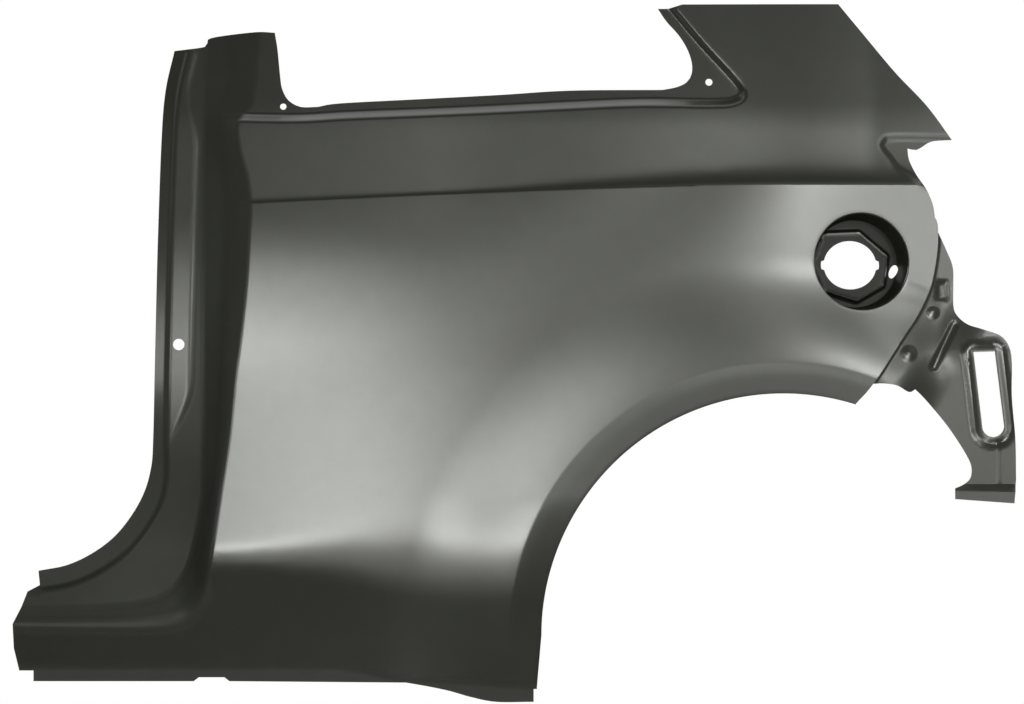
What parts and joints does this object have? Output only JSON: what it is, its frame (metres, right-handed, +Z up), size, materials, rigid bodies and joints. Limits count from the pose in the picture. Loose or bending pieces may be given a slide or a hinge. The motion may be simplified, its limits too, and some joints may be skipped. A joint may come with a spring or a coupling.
{
  "type": "rear quarter panel",
  "caption": "Left rear quarter panel of a small three-door car in dark primer, with door jamb, wheel arch, fuel filler bowl and rear corner bracket.",
  "frame": {"origin": "on the inboard face of the sill's lower weld flange, in the middle of its front tab", "axes": "+X to the rear of the car along the sill, +Y inboard, +Z up as fitted on the car"},
  "size_m": [1.4068, 0.1859, 0.9814],
  "materials": {
    "dark_primer": "semi-gloss dark grey electro-coat primer on steel",
    "bowl_primer": "glossy near-black electro-coat primer on steel",
    "bracket_primer": "semi-gloss dark grey electro-coat primer on thicker steel"
  },
  "bodies": {
    "root": {"quarter_panel": "dark_primer", "fuel_filler_bowl": "bowl_primer", "rear_corner_bracket": "bracket_primer"}
  },
  "joints": []
}
